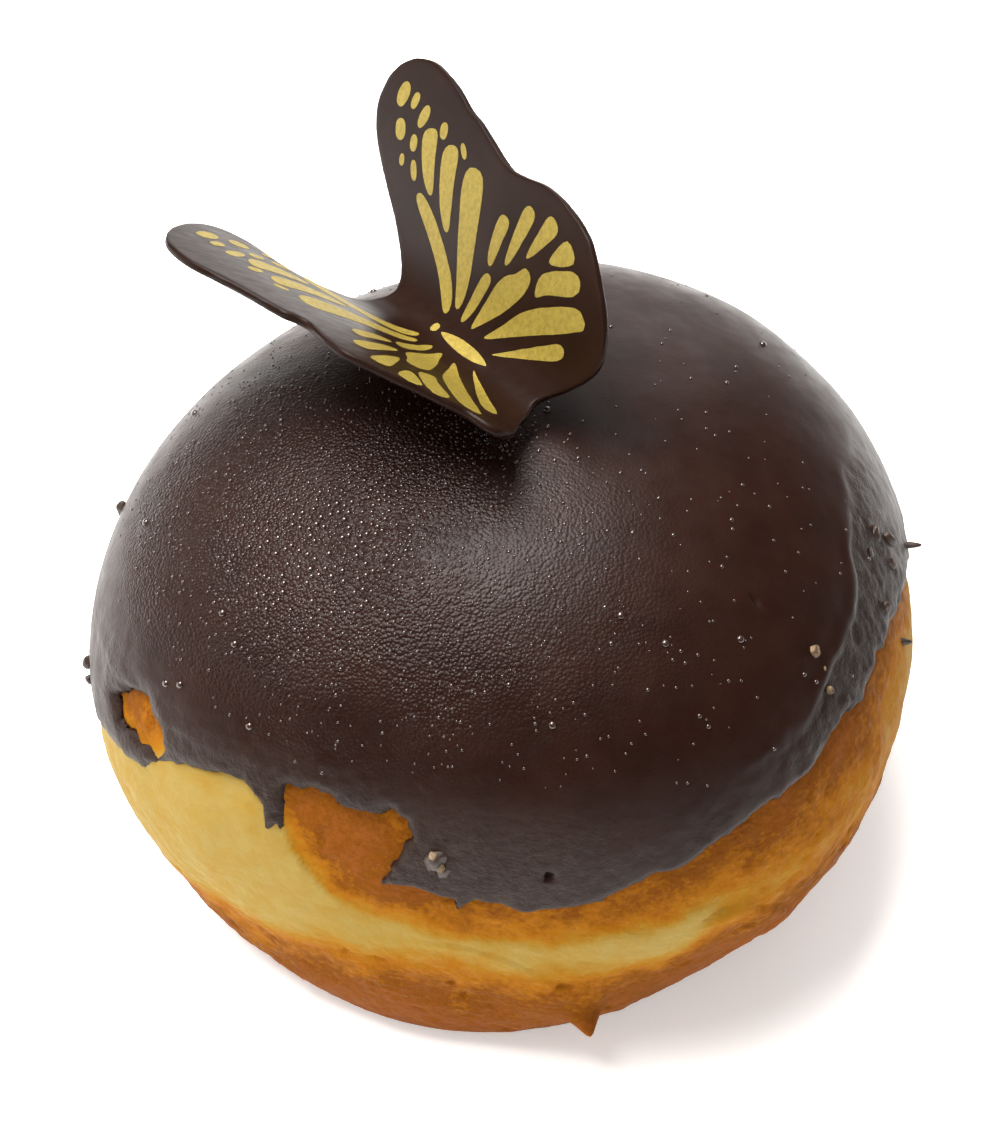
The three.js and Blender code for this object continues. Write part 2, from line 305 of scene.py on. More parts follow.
def make_mesh(name, points, faces, smooth_shaded=True, **values):
    """A mesh object from millimetre points; each keyword is a value per point."""
    mesh = bpy.data.meshes.new(name)
    mesh.from_pydata((np.asarray(points) * MM).tolist(), [], [list(map(int, f)) for f in faces])
    for key, value in values.items():
        layer = mesh.attributes.new(key, 'FLOAT', 'POINT')
        layer.data.foreach_set('value', np.asarray(value, np.float32))
    mesh.polygons.foreach_set('use_smooth', [smooth_shaded] * len(mesh.polygons))
    mesh.update()
    piece = bpy.data.objects.new(name, mesh)
    bpy.context.scene.collection.objects.link(piece)
    return piece


def grid_faces(rows, columns, wrap):
    """Quads of a grid whose rows go up and whose columns go round anticlockwise."""
    r, c = np.meshgrid(np.arange(rows - 1), np.arange(columns if wrap else columns - 1), indexing='ij')
    n = (c + 1) % columns
    return np.stack([r * columns + c, r * columns + n, (r + 1) * columns + n, (r + 1) * columns + c],
                    -1).reshape(-1, 4)


def open_edges(faces):
    """Edges that only one face uses, each in its face's direction."""
    edges = {}
    for face in faces:
        for a, b in zip(face, face[1:] + face[:1]):
            if (b, a) in edges:
                del edges[(b, a)]
            else:
                edges[(a, b)] = True
    return list(edges)


def outline_radius(mean, waves, bearing):
    """The bun's radius with its long waves: how many to a turn, size, bearing of a crest."""
    return mean + sum(size * np.cos(np.radians(turns * (bearing - crest))) for turns, size, crest in waves)


def dome_point(bearing, climb, lift):
    """A point above the waist; climb runs from 0 at the waist to 1 at the top."""
    angle = climb * math.pi / 2
    waist = outline_radius(DOUGH_RADIUS, OUTLINE_WAVES, bearing)
    radius = (waist + lift) * np.cos(angle) ** (2 / DOME_POWER)
    height = WAIST_HEIGHT + (DOME_RISE + lift) * np.sin(angle) ** (2 / DOME_POWER)
    return radius, height


def underside_point(bearing, climb):
    """A point below the waist; climb runs from -1 at the foot's rim to 0."""
    angle = -climb * math.pi / 2
    waist = outline_radius(DOUGH_RADIUS, OUTLINE_WAVES, bearing)
    foot = outline_radius(FOOT_RADIUS, FOOT_WAVES, bearing)
    radius = foot + (waist - foot) * np.cos(angle) ** (2 / UNDERSIDE_POWER)
    height = WAIST_HEIGHT * (1 - np.sin(angle) ** (2 / UNDERSIDE_POWER))
    fade = np.sqrt(np.clip(np.sin(math.pi * height / WAIST_HEIGHT), 0, 1))
    for middle, level, half_width, half_height, depth in SWELLINGS:
        falloff = (apart(bearing, middle) / half_width) ** 2 + ((height - level) / half_height) ** 2
        radius = radius + fade * depth * np.exp(-falloff)
    return radius, height


def climb_at(height):
    """The climb at which the bun's plain dome reaches a height."""
    share = np.clip((height - WAIST_HEIGHT) / DOME_RISE, 0, 1)
    return np.arcsin(share ** (DOME_POWER / 2)) * 2 / math.pi


def to_space(bearing, radius, height):
    """Millimetre points from places round the upright axis."""
    b = np.radians(bearing)
    return np.stack([radius * np.cos(b), radius * np.sin(b), height], -1)


# -------- dough

def bulge(bearing, height):
    """How far the side, and the icing with it, swells beyond the plain form."""
    total = 0
    for middle, level, half_width, half_height, depth in BULGES:
        falloff = (apart(bearing, middle) / half_width) ** 2 + ((height - level) / half_height) ** 2
        total = total + depth * np.exp(-falloff)
    return total


def ring_paleness(bearing, height, points):
    """1 in the pale ring, 0 on the fried crust."""
    low = round_table(bearing, PALE_RING, 1) + 1.2 * noise(points, 7, 11) + 0.5 * noise(points, 2.2, 12)
    high = round_table(bearing, PALE_RING, 2) + 0.7 * noise(points, 5, 13) + 0.4 * noise(points, 1.6, 14)
    pale = round_table(bearing, PALE_RING, 3)
    sharp = np.exp(-(apart(bearing, -118) / 9) ** 2)
    soft = 1.4 - 1.1 * sharp
    below = smooth(height, low - 4.0, low + 3.0)
    return pale * below * (1 - smooth(height, high - 0.6 * soft, high + soft))


def crease_shape(bearing, height):
    """How far the crust stands out or sinks beside its creases."""
    shape = np.zeros(bearing.shape)
    for points, step, groove in CREASES:
        middle = points[len(points) // 2][0]
        x = apart(bearing, middle) * MM_PER_DEGREE
        nearest = np.full(x.shape, 1e9)
        side = np.zeros(x.shape)
        line = [((b - middle) * MM_PER_DEGREE, h) for b, h in points]
        for (ax, ay), (bx, by) in zip(line, line[1:]):
            distance, sign = segment_distance(x, height, ax, ay, bx, by)
            closer = distance < nearest
            nearest = np.where(closer, distance, nearest)
            side = np.where(closer, sign, side)
        from_end = np.minimum(x - line[0][0], line[-1][0] - x)
        ends = smooth(from_end, -1.0, 3.0)
        lower = np.where(side < 0, 1.0, 0.0)
        shape += ends * step * lower * np.exp(-nearest / 3.0) * smooth(nearest, 0, 0.7)
        shape -= ends * groove * np.exp(-(nearest / 0.45) ** 2)
    return shape


def crust_shape(bearing, height, points, pale):
    """How far the finished dough stands out from the plain form."""
    crust = 1 - pale
    out = crease_shape(bearing, height)
    out += 0.28 * layered(points, 6, 21) + crust * 0.10 * layered(points, 1.5, 22)
    out += 0.05 * layered(points, 0.8, 24, 2)
    # Small open pores
    out -= 0.35 * smooth(noise(points, 1.3, 25), 0.62, 0.95) * crust
    # The ring is a soft shallow belt where the crust did not set
    out += 0.35 * pale
    out += bulge(bearing, height)
    middle, level, from_axis, length, half_width = NUB
    nub_far = np.hypot(apart(bearing, middle) * math.radians(1) * from_axis, height - level)
    out += length * np.exp(-(nub_far / half_width) ** 1.7)
    # The foot keeps its plain form, and so does the top, which is sunk a little under the icing
    out *= smooth(height, 0, 3) * (1 - smooth(height, 44, 50))
    out -= 0.45 * smooth(height, 40.5, 44)
    return out


def fry_amount(bearing, height, points, pale):
    """Crust colour: 0 pale, 1 deep brown; deepest under the icing's edge and towards the foot."""
    lower = round_table(bearing, PALE_RING, 1)
    upper = round_table(bearing, PALE_RING, 2)
    below = np.clip((lower + 1.0 - height) / 17, 0, 1)
    above = np.clip((height - upper + 1.5) / 6.5, 0, 1)
    patch = np.exp(-(apart(bearing, -113) / 9) ** 2)
    fry = 0.27 + 0.62 * np.maximum(below ** 0.8, above * (0.52 + 0.24 * patch))
    fry = fry + 0.08 * layered(points, 5, 31)
    fry += 0.13 * np.exp(-(apart(bearing, -38) / 26) ** 2)
    return np.clip(fry * (1 - pale) + 0.05 * pale, 0, 1)


def make_dough():
    """The bun: rings from the foot's rim to just short of the top, closed at both ends."""
    columns = DOUGH_COLUMNS
    bearing = np.arange(columns) * 360 / columns
    steps = [k / DOUGH_ROWS for k in range(DOUGH_ROWS)]
    rings = [underside_point(bearing, np.full(columns, step - 1)) for step in steps]
    rings += [dome_point(bearing, np.full(columns, step), 0) for step in steps]
    radius = np.concatenate([ring[0] for ring in rings])
    height = np.concatenate([ring[1] for ring in rings])
    around = np.tile(bearing, len(rings))
    points = to_space(around, radius, height)
    pale = ring_paleness(around, height, points)
    fry = fry_amount(around, height, points, pale)
    outward = to_space(around, 1, np.zeros(len(around)))
    points = points + outward * crust_shape(around, height, points, pale)[:, None]
    foot = len(points)
    points = np.vstack([points, [[0, 0, 0]], [[0, 0, TOP_HEIGHT]]])
    faces = grid_faces(len(rings), columns, True).tolist()
    last = (len(rings) - 1) * columns
    for k in range(columns):
        n = (k + 1) % columns
        faces.append([foot, n, k])
        faces.append([foot + 1, last + k, last + n])
    fry = np.append(fry, [0.95, 0.5])
    pale = np.append(pale, [0, 0])
    return make_mesh("fried_dough", points, faces, fry=fry, pale=pale)


# -------- icing

def icing_depth(bearing, height, points):
    """How far inside the icing's edge a place lies, in mm; negative where the dough is bare."""
    torn = 0.35 + 0.3 * np.exp(-(apart(bearing, -30) / 22) ** 2)
    ragged = torn * noise(points, 1.6, 41) + 0.22 * noise(points, 0.7, 42)
    edge = round_table(bearing, ICING_EDGE, 1)
    ahead = round_table(bearing + 0.5, ICING_EDGE, 1)
    slope = (ahead - edge) / (0.5 * MM_PER_DEGREE)
    above = height - edge
    near = above / np.sqrt(1 + slope ** 2)
    depth = near + (above - near) * smooth(above, 2, 6) + ragged
    for outline in BARE_PATCHES:
        depth = np.minimum(depth, outside(bearing, height, outline) + 1.2 * ragged)
    return depth


def icing_lift(bearing, height, points, depth):
    """Height of the icing's face above the dough, and how far it is the thin film there."""
    full = LIP_THICKNESS + (ICING_THICKNESS - LIP_THICKNESS) * smooth(height, *THICKENING)
    lift = ICING_GAP + full
    top = smooth(height, 36, 46)
    lift += top * (0.24 * noise(points, 12, 51) + 0.05 * noise(points, 5, 52))
    # Thin crinkled film beyond the thick cap on the right, with a ridge where the cap ends
    film_line = round_table(bearing, FILM_LINE, 1) + 0.5 * noise(points, 3, 53)
    film = (1 - smooth(height, film_line - 0.35, film_line + 0.35)) * round_table(bearing, FILM_LINE, 2)
    crinkle = np.abs(layered(points * [1, 1, 0.45], 1.5, 54)) - 0.35
    lift += film * (-0.26 + 0.26 * crinkle)
    lift += 0.16 * np.exp(-((height - film_line - 0.6) / 0.7) ** 2) * round_table(bearing, FILM_LINE, 2)
    lift += 0.07 * layered(points, 1.2, 55, 2) * (1 - smooth(depth, 2, 9))
    for middle, level, radius, deep in PITS:
        far = np.hypot(apart(bearing, middle) * MM_PER_DEGREE, height - level)
        lift -= deep * np.exp(-(far / radius) ** 4)
    # The edge tapers more round the bare patch at the left and in the film
    width = LIP_ROUNDING + 1.5 * np.exp(-(apart(bearing, -149) / 9) ** 2) + 0.9 * film
    rounding = np.clip(depth / width, 0, 1)
    lift = lift * np.sqrt(1 - (1 - rounding) ** 2) + bulge(bearing, height)
    return lift, film


def icing_place(bearing, climb):
    """Places on the dough under the icing, and how far inside the icing's edge they are."""
    radius, height = dome_point(bearing, climb, 0)
    points = to_space(bearing, radius, height)
    return radius, height, points, icing_depth(bearing, height, points)


def draw_to_edge(bearing, climb):
    """Moves places just outside the icing's edge onto it, so that the edge runs smoothly."""
    radius, height, points, depth = icing_place(bearing, climb)
    for _ in range(3):
        grow_up = (icing_depth(bearing, height + EDGE_STEP, points) - depth) / EDGE_STEP
        grow_aside = (icing_depth(bearing + EDGE_STEP, height, points) - depth) / EDGE_STEP
        across = math.radians(1) * radius
        size = grow_up ** 2 + (grow_aside / across) ** 2 + 1e-6
        moved = np.clip(np.where(depth < 0, -depth, 0), 0, EDGE_REACH)
        bearing = bearing + moved * grow_aside / across ** 2 / size
        climb = climb_at(np.minimum(height + moved * grow_up / size, TOP_HEIGHT - 1e-4))
        radius, height, points, depth = icing_place(bearing, climb)
    return bearing, climb, height, points, depth


def make_icing():
    """The coat: an outer face, an inner face close to the dough, and walls between them."""
    climb, bearing = np.meshgrid(np.linspace(0.02, 0.995, ICING_ROWS),
                                 np.arange(ICING_COLUMNS) * 360 / ICING_COLUMNS, indexing='ij')
    bearing, climb = bearing.ravel(), climb.ravel()
    depth = icing_place(bearing, climb)[3]
    faces = grid_faces(ICING_ROWS, ICING_COLUMNS, True)
    kept = faces[(depth[faces] > 0).any(1) & (depth[faces] > -EDGE_REACH * 3).all(1)]
    bearing, climb, height, points, depth = draw_to_edge(bearing, climb)
    lift, film = icing_lift(bearing, height, points, np.maximum(depth, 0))
    sink = 0.12
    swell = bulge(bearing, height)
    outer_lift = np.where(depth <= 0.02, swell - sink, lift)
    outer = to_space(bearing, *dome_point(bearing, climb, outer_lift))
    inner = to_space(bearing, *dome_point(bearing, climb, swell - 2.5 * sink))
    used, index = np.unique(kept, return_inverse=True)
    kept = index.reshape(kept.shape).tolist()
    outer, inner = outer[used], inner[used]
    dew = dew_amount(bearing[used], height[used], outer)
    grain = edge_grain(bearing[used], outer)
    count = len(used)
    outer_top = TOP_HEIGHT + ICING_GAP + ICING_THICKNESS + 0.02
    points = np.vstack([outer, inner, [[0, 0, outer_top], [0, 0, TOP_HEIGHT - 0.3]]])
    faces = kept + [[v + count for v in reversed(f)] for f in kept]
    high = outer[:, 2] > TOP_HEIGHT - 2
    for a, b in open_edges(kept):
        if high[a] and high[b]:
            faces.append([b, a, 2 * count])
            faces.append([a + count, b + count, 2 * count + 1])
        else:
            faces.append([b, a, a + count, b + count])
    inside = np.zeros(count)
    dew = np.concatenate([dew, inside, [0.2, 0]])
    film = np.concatenate([film[used], inside, [0, 0]])
    grain = np.concatenate([grain, inside, [0, 0]])
    return make_mesh("icing_cap", points, faces, dew=dew, film=film, grain=grain)


def edge_grain(bearing, points):
    """How grainy and matt the icing is: most low down, at the front left."""
    side = 0.25 + 0.75 * np.exp(-(apart(bearing, -122) / 38) ** 2)
    return np.clip(side * (1 - smooth(points[:, 2], 36, 45)) * (0.9 + 0.4 * noise(points, 4, 63)), 0, 1)


def dew_amount(bearing, height, points):
    """How closely the icing is covered in tiny droplets: full at the front left, little on the right."""
    side = np.exp(-(apart(bearing, -138) / 62) ** 2)
    level = smooth(height, 40, 47) * (1 - 0.35 * smooth(height, 56, 58))
    uneven = 0.95 + 0.35 * noise(points, 6, 61)
    return np.clip(side * level * uneven + 0.04 * smooth(height, 44, 52), 0, 1)


def spaced_out(points, size, order):
    """Picks droplets from the largest down, leaving out any that would touch one already picked."""
    cell = {}
    chosen = []
    for k in order[np.argsort(-size[order])]:
        key = tuple(np.floor(points[k] / 0.5).astype(int))
        near = [j for dx in (-1, 0, 1) for dy in (-1, 0, 1) for dz in (-1, 0, 1)
                for j in cell.get((key[0] + dx, key[1] + dy, key[2] + dz), ())]
        if all(np.linalg.norm(points[k] - points[j]) > 1.05 * (size[k] + size[j]) for j in near):
            cell.setdefault(key, []).append(k)
            chosen.append(k)
    return np.array(chosen)


def scatter_droplets():
    """Bearing, climb, height, point and radius of each droplet on the icing."""
    rng = np.random.default_rng(7)
    tries = DROPLET_TRIES
    bearing = rng.uniform(-180, 180, tries)
    climb = np.arccos(rng.uniform(0.02, 0.93, tries)) * 2 / math.pi
    radius, height = dome_point(bearing, climb, 0)
    points = to_space(bearing, radius, height)
    dew = dew_amount(bearing, height, points)
    cluster = np.exp(-(apart(bearing, -136) / 18) ** 2 - ((height - 52.5) / 3.6) ** 2)
    size = 0.08 + 0.09 * rng.random(tries) + (0.04 + 0.15 * cluster) * (rng.random(tries) > 0.72)
    keep = rng.random(tries) < dew * 0.27 + cluster
    sparse = rng.random(tries) < 0.003 + 0.009 * np.exp(-(apart(bearing, -62) / 34) ** 2)
    size = np.where(sparse & ~keep, 0.16 + 0.12 * rng.random(tries), size)
    keep |= sparse & (height > 40)
    for middle, level in LARGE_DROPLETS:
        k = np.argmin(np.hypot(apart(bearing, middle) * 0.6, height - level))
        keep[k] = True
        size[k] = LARGE_DROPLET
    chosen = spaced_out(points, size, np.flatnonzero(keep))
    return bearing[chosen], climb[chosen], height[chosen], points[chosen], size[chosen]


def make_beads():
    """Droplets that stand on the icing, each a low dome sunk a little into it."""
    bearing, climb, height, points, size = scatter_droplets()
    depth = icing_depth(bearing, height, points)
    lift, _ = icing_lift(bearing, height, points, np.maximum(depth, 0))
    centre = to_space(bearing, *dome_point(bearing, climb, lift))
    ahead = to_space(bearing, *dome_point(bearing, climb + 0.002, lift))
    north = ahead - centre
    north /= np.linalg.norm(north, axis=1)[:, None]
    east = to_space(bearing + 90, 1, np.zeros(len(bearing)))
    out = np.cross(east, north)
    sides, sink, crown = 8, 0.35, 0.62
    ring = np.arange(sides) * TURN / sides
    levels = [(1.0, -sink), (0.92, 0.18), (0.6, 0.5)]
    verts, faces = [], []
    for k in range(len(size)):
        start = len(verts)
        for spread, rise in levels:
            for a in ring:
                sideways = spread * (math.cos(a) * east[k] + math.sin(a) * north[k])
                verts.append(centre[k] + size[k] * (sideways + rise * out[k]))
        verts.append(centre[k] + size[k] * crown * out[k])
        verts.append(centre[k] - size[k] * sink * out[k])
        top = start + 3 * sides
        bottom = top + 1
        for s in range(sides):
            n = (s + 1) % sides
            faces.append([bottom, start + n, start + s])
            for level in range(2):
                row = start + level * sides
                faces.append([row + s, row + n, row + sides + n, row + sides + s])
            faces.append([start + 2 * sides + s, start + 2 * sides + n, top])
    return make_mesh("icing_droplets", verts, faces)


# -------- butterfly

def turned(distance):
    """How far the sheet has turned up at a distance from the fold's middle."""
    right, left = FOLDS[1], FOLDS[-1]
    to_right = right[0] * np.tanh(distance / right[1]) - right[2] * distance
    to_left = left[0] * np.tanh(distance / left[1]) - left[2] * distance
    return np.where(distance > 0, to_right, to_left)


def section_table():
    """The folded sheet's cross-section: places reached by walking out along it."""
    s = np.arange(-32, 32.01, 0.05)
    angle = turned(s - FOLD_OFFSET)
    middle = (angle[1:] + angle[:-1]) / 2
    x = np.concatenate([[0], np.cumsum(np.cos(middle) * 0.05)])
    z = np.concatenate([[0], np.cumsum(np.sin(middle) * 0.05)])
    return s, x - np.interp(0, s, x), z - np.interp(0, s, z)


SECTION = section_table()


def turn_matrix(degrees_xyz):
    """Turns about Y, then X, then Z, by angles given in the order X, Y, Z."""
    a, b, c = (math.radians(v) for v in degrees_xyz)
    about_x = np.array([[1, 0, 0], [0, math.cos(a), -math.sin(a)], [0, math.sin(a), math.cos(a)]])
    about_y = np.array([[math.cos(b), 0, math.sin(b)], [0, 1, 0], [-math.sin(b), 0, math.cos(b)]])
    about_z = np.array([[math.cos(c), -math.sin(c), 0], [math.sin(c), math.cos(c), 0], [0, 0, 1]])
    return about_z @ about_x @ about_y


def sheet_points(flat, depth):
    """Places on the folded sheet, from the flat one and the depth under its upper face."""
    along, across = flat[:, 0] * WING_SCALE, flat[:, 1] * WING_SCALE
    s = across * math.cos(FOLD_SKEW) - along * math.sin(FOLD_SKEW)
    y = along * math.cos(FOLD_SKEW) + across * math.sin(FOLD_SKEW)
    table, x, z = SECTION
    angle = turned(s - FOLD_OFFSET)
    local = np.stack([np.interp(s, table, x) + depth * np.sin(angle), y,
                      np.interp(s, table, z) - depth * np.cos(angle)], -1)
    return local @ turn_matrix(BUTTERFLY_TURN).T + np.array(BUTTERFLY_PLACE)


def fill_outline(loops, spacing, clearance):
    """Triangles of the first loop's inside, with the other loops and a field of points as corners."""
    edge = loops[0]
    low, high = edge.min(0), edge.max(0)
    xs = np.arange(low[0] + spacing / 2, high[0], spacing)
    ys = np.arange(low[1] + spacing / 2, high[1], spacing * 0.87)
    gx, gy = np.meshgrid(xs, ys)
    gx = gx + (np.arange(len(ys)) % 2)[:, None] * spacing / 2
    field = np.stack([gx.ravel(), gy.ravel()], -1)
    field = field[within(field[:, 0], field[:, 1], edge)]
    far = np.array([np.min(np.hypot(*(edge - p).T)) for p in field]) if len(field) else np.zeros(0)
    field = field[far > clearance] if len(field) else field
    points = [Vector(p) for loop in loops for p in loop] + [Vector(p) for p in field]
    count = len(edge)
    constraint = [(k, (k + 1) % count) for k in range(count)]
    done = geometry.delaunay_2d_cdt(points, constraint, [], 1, 1e-5)
    verts = np.array([tuple(v) for v in done[0]])
    return verts, [list(f) for f in done[2]]


def edge_distance(points, edge):
    """Distance from each flat point to the nearest point of an outline, in blocks to save memory."""
    out = np.empty(len(points))
    for start in range(0, len(points), 2000):
        block = points[start:start + 2000]
        out[start:start + 2000] = np.sqrt(((block[:, None, :] - edge[None]) ** 2).sum(-1)).min(1)
    return out


def plate(flat, faces, top_depth, bottom_depth):
    """Closes two copies of a triangulated outline into one thin solid."""
    count = len(flat)
    points = np.vstack([sheet_points(flat, top_depth), sheet_points(flat, bottom_depth)])
    solid = [list(f) for f in faces] + [[v + count for v in reversed(f)] for f in faces]
    solid += [[b, a, a + count, b + count] for a, b in open_edges(faces)]
    return points, solid


def counter_clockwise(flat, faces):
    """Turns each triangle so that it faces the printed side. Along is +Y and across is +X there."""
    out = []
    for f in faces:
        a, b, c = flat[f[0]], flat[f[1]], flat[f[2]]
        area = (b[1] - a[1]) * (c[0] - a[0]) - (b[0] - a[0]) * (c[1] - a[1])
        out.append(f if area > 0 else f[::-1])
    return out


def make_butterfly():
    """The folded sheet, with a sharp upper edge and a rounder lower one."""
    cut = RIGHT_OUTLINE[:-1] + LEFT_OUTLINE[:0:-1]
    outline = closed_curve(cut, 0.35)
    wobble = np.column_stack([outline, np.zeros(len(outline))])
    outline = outline + 0.05 * np.column_stack([noise(wobble, 1.5, 71), noise(wobble, 1.5, 72)])
    ahead = np.roll(outline, -1, 0) - np.roll(outline, 1, 0)
    inward = np.column_stack([ahead[:, 1], -ahead[:, 0]]) / np.linalg.norm(ahead, axis=1)[:, None]
    centre_side = np.sum(inward * (outline.mean(0) - outline), 1).mean()
    inward = inward if centre_side > 0 else -inward
    loops = [outline] + [outline + inward * d for d in (0.08, 0.2, 0.4)]
    flat, faces = fill_outline(loops, 0.55, 0.6)
    far = edge_distance(flat, closed_curve(cut, 0.08))
    soft = np.clip(far / 0.3, 0, 1)
    top = 0.13 * (1 - np.sqrt(1 - (1 - soft) ** 2))
    under = np.clip(far / 0.45, 0, 1)
    bottom = 0.42 + (SHEET - 0.42) * np.sqrt(1 - (1 - under) ** 2)
    ripple = np.column_stack([flat, np.zeros(len(flat))])
    bottom = bottom + 0.05 * noise(ripple, 3, 73)
    points, solid = plate(flat, counter_clockwise(flat, faces), top, bottom)
    return make_mesh("chocolate_butterfly", points, solid)


def petal(start, end, near, far, bow, bluntness=2.3):
    """A closed strip between two points, bowed to one side; a low bluntness gives pointed ends."""
    a, b = np.array(start, float), np.array(end, float)
    side = np.array([-(b - a)[1], (b - a)[0]]) / np.linalg.norm(b - a)
    t = (1 - np.cos(np.linspace(0, math.pi, 15))) / 2
    even = np.linalg.norm(b - a) < 3 or near == far
    inner_end, outer_end = (2.2, 2.2) if even else (3.0, 6.0)
    roundness = np.where(t < 0.5, inner_end, outer_end)
    width = (near + (far - near) * t) * (1 - np.abs(2 * t - 1) ** roundness) ** (1 / bluntness)
    spine = a + (b - a) * t[:, None] + side * (bow * 4 * t * (1 - t))[:, None]
    left = spine + side * width[:, None]
    right = spine - side * width[:, None]
    return np.vstack([left, right[-2:0:-1]])


def make_gold():
    """The printed marks: thin raised films on the upper face of both wings."""
    one_wing = [petal(*p) for p in PETALS] + [closed_curve(b, 0.5) for b in BLOCKS]
    outlines = [petal(*p) for p in BODY_MARKS]
    for loop in one_wing:
        outlines.append(loop)
        outlines.append(loop * [1, -1])
    all_points, all_faces, start = [], [], 0
    for loop in outlines:
        wobble = np.column_stack([loop, np.zeros(len(loop))])
        loop = loop + 0.04 * np.column_stack([noise(wobble, 0.9, 81), noise(wobble, 0.9, 82)])
        flat, faces = fill_outline([loop], 0.45, 0.22)
        raised, sunk = np.full(len(flat), -0.02), np.full(len(flat), 0.06)
        points, solid = plate(flat, counter_clockwise(flat, faces), raised, sunk)
        all_points.append(points)
        all_faces += [[v + start for v in f] for f in solid]
        start += len(points)
    return make_mesh("gold_print", np.vstack(all_points), all_faces, smooth_shaded=False)


def make_dab():
    """Melted chocolate that holds the butterfly's body down on the icing."""
    middle, half_length, half_width = (3.5, -0.3), 8.5, 2.4
    steps = 72
    angle = np.arange(steps) * TURN / steps
    reach = 1 + 0.07 * np.sin(3 * angle + 1) + 0.05 * np.sin(7 * angle)
    flat = np.stack([middle[0] + half_length * reach * np.cos(angle),
                     middle[1] + half_width * reach * np.sin(angle)], -1)
    upper = sheet_points(flat, np.full(steps, SHEET - 0.15))
    centre = upper.mean(0)
    rings = [upper]
    for share in (0.35, 0.7, 0.9, 1.0):
        spread = 1.0 + 0.28 * share ** 3
        place = centre + (upper - centre) * [spread, spread, 0]
        bearing = np.degrees(np.arctan2(place[:, 1], place[:, 0]))
        lift = ICING_GAP + ICING_THICKNESS - 0.4
        size = outline_radius(DOUGH_RADIUS, OUTLINE_WAVES, bearing) + lift
        inner = (np.hypot(place[:, 0], place[:, 1]) / size) ** DOME_POWER
        icing_top = WAIST_HEIGHT + (DOME_RISE + lift) * (1 - inner) ** (1 / DOME_POWER)
        place[:, 2] = upper[:, 2] + (np.minimum(icing_top, upper[:, 2] - 0.1) - upper[:, 2]) * share
        rings.append(place)
    faces = grid_faces(len(rings), steps, True)[:, ::-1].tolist()
    last = (len(rings) - 1) * steps
    points = np.vstack(rings + [[centre], [rings[-1].mean(0)]])
    for k in range(steps):
        n = (k + 1) % steps
        faces.append([k, n, len(points) - 2])
        faces.append([last + n, last + k, len(points) - 1])
    return make_mesh("melted_dab", points, faces)


# -------- crumbs

def blob(centre, sizes, seed, detail=3):
    """A rough lump with the given half sizes."""
    bm = bmesh.new()
    bmesh.ops.create_icosphere(bm, subdivisions=detail, radius=1)
    verts = np.array([v.co[:] for v in bm.verts])
    faces = [[v.index for v in f.verts] for f in bm.faces]
    bm.free()
    rough = 1 + 0.28 * noise(verts + seed, 0.9, seed) + 0.14 * noise(verts + seed, 0.4, seed + 1)
    return np.array(centre) + verts * rough[:, None] * np.array(sizes), faces


def on_icing(bearing, height, lift):
    """The point at a lift over the dough."""
    around = np.array([bearing])
    return to_space(around, *dome_point(around, climb_at(np.array([height])), lift))[0]


def make_lumps(name, places):
    """One mesh of rough lumps, each at its own place."""
    points, faces, start = [], [], 0
    for seed, (bearing, height, lift, sizes) in enumerate(places):
        p, f = blob(on_icing(bearing, height, lift), sizes, 90 + seed)
        points.append(p)
        faces += [[v + start for v in face] for face in f]
        start += len(p)
    return make_mesh(name, np.vstack(points), faces)


# -------- materials

def fill_ramp(made, stops):
    """Gives a colour ramp node its stops, in rising order."""
    elements = made.color_ramp.elements
    while len(elements) < len(stops):
        elements.new(0.5)
    for element, (position, colour) in zip(elements, stops):
        element.position = position
        element.color = (*colour, 1)


